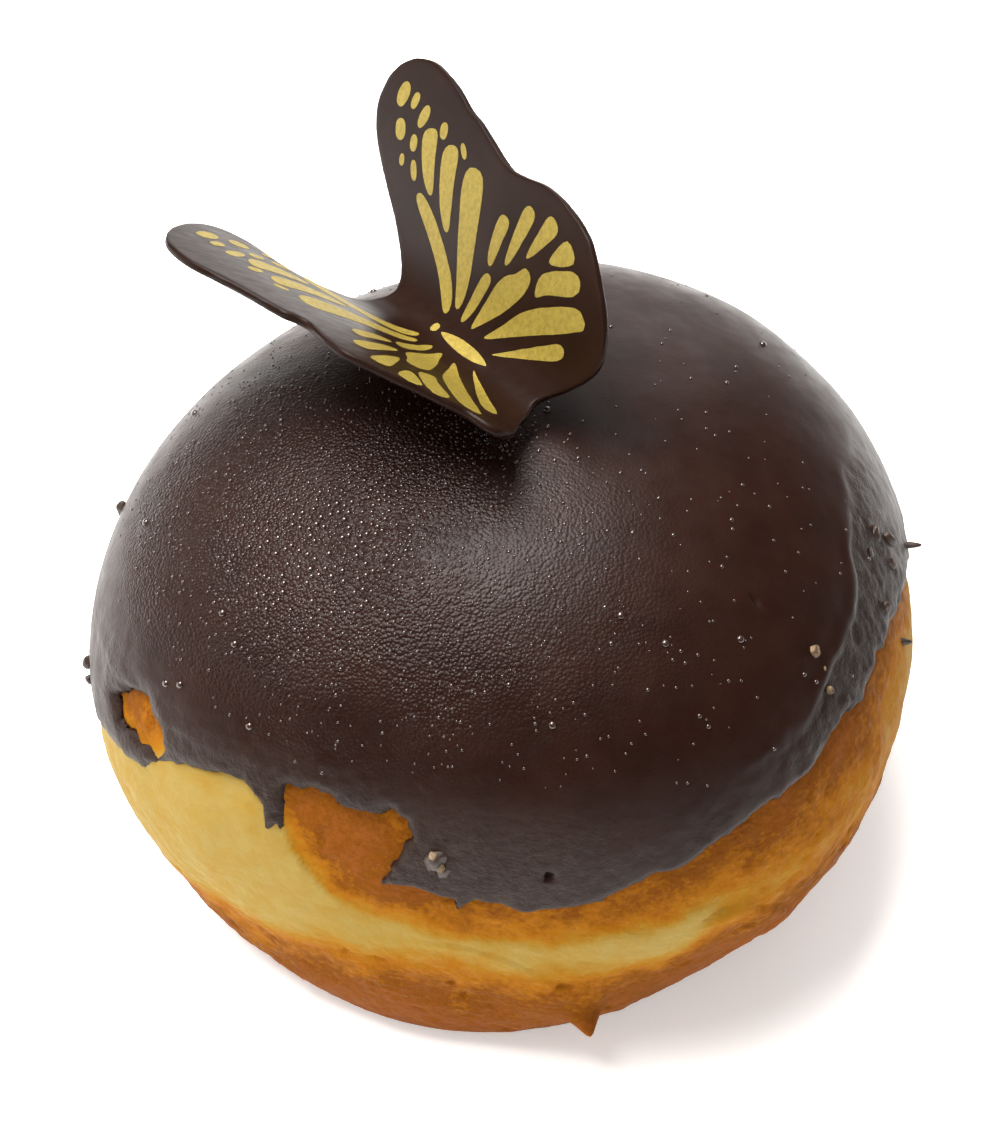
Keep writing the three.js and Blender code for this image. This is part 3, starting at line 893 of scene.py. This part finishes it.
class Surface:
    """A Principled material with helpers for its nodes; sizes are in millimetres."""

    def __init__(self, name, **sockets):
        self.material = bpy.data.materials.new(name)
        self.material.use_nodes = True
        self.tree = self.material.node_tree
        self.shader = self.tree.nodes['Principled BSDF']
        self.place = self.tree.nodes.new('ShaderNodeTexCoord').outputs['Object']
        for key, value in sockets.items():
            self.shader.inputs[key.replace('_', ' ')].default_value = value

    def node(self, kind, values=(), **settings):
        made = self.tree.nodes.new('ShaderNode' + kind)
        for key, value in settings.items():
            setattr(made, key, value)
        for key, value in dict(values).items():
            if isinstance(value, bpy.types.NodeSocket):
                self.tree.links.new(value, made.inputs[key])
            else:
                made.inputs[key].default_value = value
        return made

    def noise(self, size, detail=3.0, rough=0.55, stretch=None):
        place = self.place
        if stretch:
            place = self.node('Mapping', {'Vector': place, 'Scale': stretch}).outputs[0]
        values = {'Vector': place, 'Scale': 1 / (size * MM), 'Detail': detail, 'Roughness': rough}
        return self.node('TexNoise', values).outputs['Fac']

    def cells(self, size, smoothness=0.3):
        values = {'Vector': self.place, 'Scale': 1 / (size * MM), 'Smoothness': smoothness}
        return self.node('TexVoronoi', values, feature='SMOOTH_F1').outputs['Distance']

    def value(self, name):
        return self.node('Attribute', attribute_name=name).outputs['Fac']

    def math(self, operation, a, b=0.0, clamp=False):
        return self.node('Math', {0: a, 1: b}, operation=operation, use_clamp=clamp).outputs[0]

    def ramp(self, factor, stops):
        made = self.node('ValToRGB', {'Fac': factor})
        fill_ramp(made, stops)
        return made.outputs['Color']

    def spread(self, factor, low, high, to_low, to_high):
        values = {'Value': factor, 1: low, 2: high, 3: to_low, 4: to_high}
        return self.node('MapRange', values).outputs['Result']

    def mix(self, factor, a, b, blend='MIX'):
        made = self.node('Mix', data_type='RGBA', blend_type=blend)
        for socket, value in zip((made.inputs[0], made.inputs[6], made.inputs[7]), (factor, a, b)):
            if isinstance(value, bpy.types.NodeSocket):
                self.tree.links.new(value, socket)
            else:
                socket.default_value = value if socket.type == 'VALUE' else (*value, 1)
        return made.outputs[2]

    def bump(self, height, size, strength=1.0, below=None):
        values = {'Height': height, 'Distance': size * MM, 'Strength': strength}
        if below is not None:
            values['Normal'] = below
        return self.node('Bump', values).outputs['Normal']

    def link(self, socket, name):
        self.tree.links.new(socket, self.shader.inputs[name])

    def on(self, *pieces):
        for piece in pieces:
            piece.data.materials.clear()
            piece.data.materials.append(self.material)


def dough_surface():
    """Matt fried crust, from pale cream through amber to brown, with pores and fine specks."""
    s = Surface("fried_dough_crust", Subsurface_Weight=0.15, Subsurface_Scale=0.003,
                Specular_IOR_Level=0.012)
    s.shader.inputs['Subsurface Radius'].default_value = (1.0, 0.5, 0.2)
    fry = s.value('fry')
    patchy = s.math('ADD', fry, s.spread(s.noise(3.0, 4), 0.3, 0.7, -0.10, 0.10))
    grain = s.spread(s.noise(0.8, 4, 0.65), 0.3, 0.7, -0.32, 0.32)
    grain = s.math('MULTIPLY', grain, s.math('MULTIPLY', fry, fry))
    tone = s.math('ADD', patchy, grain, True)
    colour = s.ramp(tone, [
        (0.0, (0.29, 0.205, 0.056)), (0.14, (0.28, 0.175, 0.033)), (0.30, (0.28, 0.130, 0.010)),
        (0.46, (0.265, 0.096, 0.005)), (0.66, (0.148, 0.046, 0.004)), (0.85, (0.188, 0.058, 0.009)),
        (1.0, (0.185, 0.057, 0.015))])
    specks = s.spread(s.noise(0.45, 2), 0.60, 0.70, 0.0, 0.45)
    specks = s.math('MULTIPLY', specks, s.spread(fry, 0.2, 0.6, 0.1, 1.0))
    s.link(s.mix(specks, colour, (0.13, 0.035, 0.010)), 'Base Color')
    s.link(s.spread(s.noise(1.5, 3), 0.3, 0.7, 0.42, 0.66), 'Roughness')
    wrinkles = s.bump(s.noise(1.6, 5, 0.6, (1, 1, 1.8)), 0.40, 0.6)
    pores = s.bump(s.cells(0.55), 0.12, 0.5, wrinkles)
    s.link(pores, 'Normal')
    return s


def icing_surface():
    """Satin icing: beaded where dewy, worn and matt low down and in the thin film."""
    s = Surface("chocolate_icing_satin", Specular_IOR_Level=0.15)
    dew, film, grain = s.value('dew'), s.value('film'), s.value('grain')
    cloud = s.noise(7, 3)
    base = s.ramp(cloud, [(0.35, (0.0095, 0.0024, 0.0010)), (0.7, (0.0145, 0.0042, 0.0020))])
    dusty = s.math('MULTIPLY', grain, s.spread(s.noise(0.8, 4), 0.35, 0.65, 0.0, 0.7))
    base = s.mix(dusty, base, (0.029, 0.0165, 0.0105))
    s.link(s.mix(s.math('MULTIPLY', film, 0.8), base, (0.013, 0.0070, 0.0046)), 'Base Color')
    rough = s.spread(s.noise(2.5, 4), 0.3, 0.7, 0.34, 0.46)
    rough = s.math('ADD', rough, s.math('MULTIPLY', film, 0.14))
    rough = s.math('ADD', rough, s.math('MULTIPLY', grain, 0.12))
    s.link(rough, 'Roughness')
    waves = s.bump(s.noise(5.5, 2), 0.30, 0.35)
    peel = s.math('MULTIPLY', s.cells(0.31, 0.15), dew)
    droplets = s.bump(s.math('MULTIPLY', peel, -1.0), 0.15, 0.9, waves)
    worn = s.math('MAXIMUM', grain, s.math('MULTIPLY', film, 0.8))
    coarse = s.bump(s.math('MULTIPLY', s.noise(0.9, 4, 0.7), worn), 0.45, 0.8, droplets)
    s.link(s.bump(s.noise(0.35, 2), 0.02, 0.35, coarse), 'Normal')
    return s


def tinted(name, size, detail, low, high, **sockets):
    """A surface whose colour clouds between two stops."""
    s = Surface(name, **sockets)
    s.link(s.ramp(s.noise(size, detail), [low, high]), 'Base Color')
    return s


def bead_surface():
    """Glossy droplets."""
    low, high = (0.3, (0.016, 0.005, 0.003)), (0.7, (0.026, 0.010, 0.006))
    return tinted("chocolate_icing_beads", 2.0, 2, low, high, Roughness=0.16, Specular_IOR_Level=0.8)


def butterfly_surface():
    """Smooth dark sheet with faint streaks."""
    low, high = (0.3, (0.0085, 0.0030, 0.0016)), (0.7, (0.0125, 0.0048, 0.0027))
    s = tinted("chocolate_sheet_satin", 6, 4, low, high, Specular_IOR_Level=0.085)
    s.link(s.spread(s.noise(1.8, 4, 0.6, (1, 3, 1)), 0.3, 0.7, 0.30, 0.44), 'Roughness')
    soft = s.bump(s.noise(4.0, 2), 0.10, 0.3)
    s.link(s.bump(s.noise(0.25, 3), 0.012, 0.5, soft), 'Normal')
    return s


def gold_surface():
    """Dull gold powder print, unevenly laid."""
    s = Surface("gold_print_powder", Metallic=0.25, Specular_IOR_Level=0.3)
    base = s.ramp(s.noise(0.5, 4, 0.7), [(0.3, (0.172, 0.124, 0.018)), (0.55, (0.240, 0.180, 0.029)),
                                          (0.75, (0.29, 0.220, 0.044))])
    speck = s.spread(s.noise(0.22, 2), 0.66, 0.74, 0, 0.55)
    s.link(s.mix(speck, base, (0.16, 0.09, 0.02)), 'Base Color')
    s.link(s.spread(s.noise(0.6, 3), 0.3, 0.7, 0.48, 0.62), 'Roughness')
    s.link(s.bump(s.noise(0.3, 3), 0.01, 0.5), 'Normal')
    return s


def crumb_surface():
    """Dry crumb of dough."""
    low, high = (0.35, (0.05, 0.028, 0.014)), (0.72, (0.25, 0.175, 0.10))
    s = tinted("loose_crumb", 0.6, 4, low, high, Specular_IOR_Level=0.3, Roughness=0.7)
    s.link(s.bump(s.noise(0.4, 4), 0.15, 0.8), 'Normal')
    return s


def chip_surface():
    """Broken chocolate."""
    low, high = (0.3, (0.012, 0.005, 0.003)), (0.7, (0.034, 0.016, 0.009))
    s = tinted("chocolate_chip_rough", 0.8, 4, low, high, Specular_IOR_Level=0.4)
    s.link(s.spread(s.noise(0.7, 3), 0.3, 0.7, 0.35, 0.6), 'Roughness')
    s.link(s.bump(s.noise(0.45, 4), 0.12, 0.8), 'Normal')
    return s


# -------- studio

def make_camera():
    data = bpy.data.cameras.new("view_camera")
    data.lens = LENS
    data.sensor_width = SENSOR
    data.clip_start = 0.01
    camera = bpy.data.objects.new("view_camera", data)
    bpy.context.scene.collection.objects.link(camera)
    elevation = math.radians(VIEW_ELEVATION)
    forward = Vector((0, math.cos(elevation), -math.sin(elevation)))
    above = Vector((0, math.sin(elevation), math.cos(elevation)))
    camera.location = Vector((0, 0, WAIST_HEIGHT * MM)) - forward * VIEW_DISTANCE * MM
    sideways = Vector((1, 0, 0)) * math.tan(math.radians(AIM_RIGHT))
    aim = forward + above * math.tan(math.radians(AIM_BELOW)) - sideways
    camera.rotation_euler = aim.to_track_quat('-Z', 'Y').to_euler()
    bpy.context.scene.camera = camera


def make_light(name, place, size, power, colour):
    """A flat rectangular light aimed at the bun; places and sizes in metres."""
    data = bpy.data.lights.new(name, 'AREA')
    data.shape = 'RECTANGLE'
    data.size, data.size_y = size
    data.energy = power
    data.color = colour
    light = bpy.data.objects.new(name, data)
    light.location = place
    light.rotation_euler = (Vector((0, 0, 0.03)) - Vector(place)).to_track_quat('-Z', 'Y').to_euler()
    bpy.context.scene.collection.objects.link(light)
    return light


def make_studio():
    """Lights, a room that is bright overhead, and a pale floor."""
    make_light("overhead", (-0.15, 0.08, 0.60), (0.48, 0.34), 11.4, (1.0, 0.97, 0.94))
    make_light("left_window", (-0.62, 0.0, 0.26), (0.4, 0.4), 1.1, (1.0, 0.99, 0.97))
    make_light("back_window", (0.12, 0.66, 0.30), (0.5, 0.3), 1.4, (0.97, 0.985, 1.0))
    fill = make_light("front_fill", (-0.3, -0.72, 0.28), (0.8, 0.4), 2.1, (1.0, 0.99, 0.97))
    fill.visible_glossy = False
    world = bpy.data.worlds.new("studio")
    world.use_nodes = True
    nodes, links = world.node_tree.nodes, world.node_tree.links
    background = nodes['Background']
    direction = nodes.new('ShaderNodeSeparateXYZ')
    links.new(nodes.new('ShaderNodeTexCoord').outputs['Generated'], direction.inputs[0])
    sky = nodes.new('ShaderNodeValToRGB')
    fill_ramp(sky, SKY)
    links.new(direction.outputs['Z'], sky.inputs['Fac'])
    links.new(sky.outputs['Color'], background.inputs['Color'])
    background.inputs['Strength'].default_value = 1.0
    bpy.context.scene.world = world
    floor_mesh = bpy.data.meshes.new("floor")
    half = FLOOR_HALF
    corners = [(-half, -half, 0), (half, -half, 0), (half, half, 0), (-half, half, 0)]
    floor_mesh.from_pydata(corners, [], [(0, 1, 2, 3)])
    floor = bpy.data.objects.new("floor", floor_mesh)
    bpy.context.scene.collection.objects.link(floor)
    s = Surface("pale_floor", Roughness=0.7, Specular_IOR_Level=0.2)
    s.shader.inputs['Base Color'].default_value = (0.94, 0.94, 0.94, 1)
    s.shader.inputs['Emission Color'].default_value = (1, 1, 1, 1)
    s.shader.inputs['Emission Strength'].default_value = 0.33
    s.on(floor)
    bpy.context.scene.view_settings.view_transform = 'Standard'


# -------- the doughnut

make_camera()

dough = make_dough()
dough_surface().on(dough)
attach(dough, "root")
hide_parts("dough")

icing = make_icing()
icing_coat = icing_surface()
icing_coat.on(icing)
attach(icing, "root")
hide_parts("chocolate_icing")

beads = make_beads()
bead_surface().on(beads)
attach(beads, "root")

butterfly = make_butterfly()
butterfly_surface().on(butterfly)
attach(butterfly, "root")
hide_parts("butterfly")

dab = make_dab()
icing_coat.on(dab)
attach(dab, "root")

gold = make_gold()
gold_surface().on(gold)
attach(gold, "root")

crumbs = make_lumps("pale_crumbs", PALE_CRUMBS)
crumb_surface().on(crumbs)
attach(crumbs, "root")

chips = make_lumps("icing_crumbs", CHOCOLATE_CRUMBS)
chip_surface().on(chips)
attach(chips, "root")

make_studio()
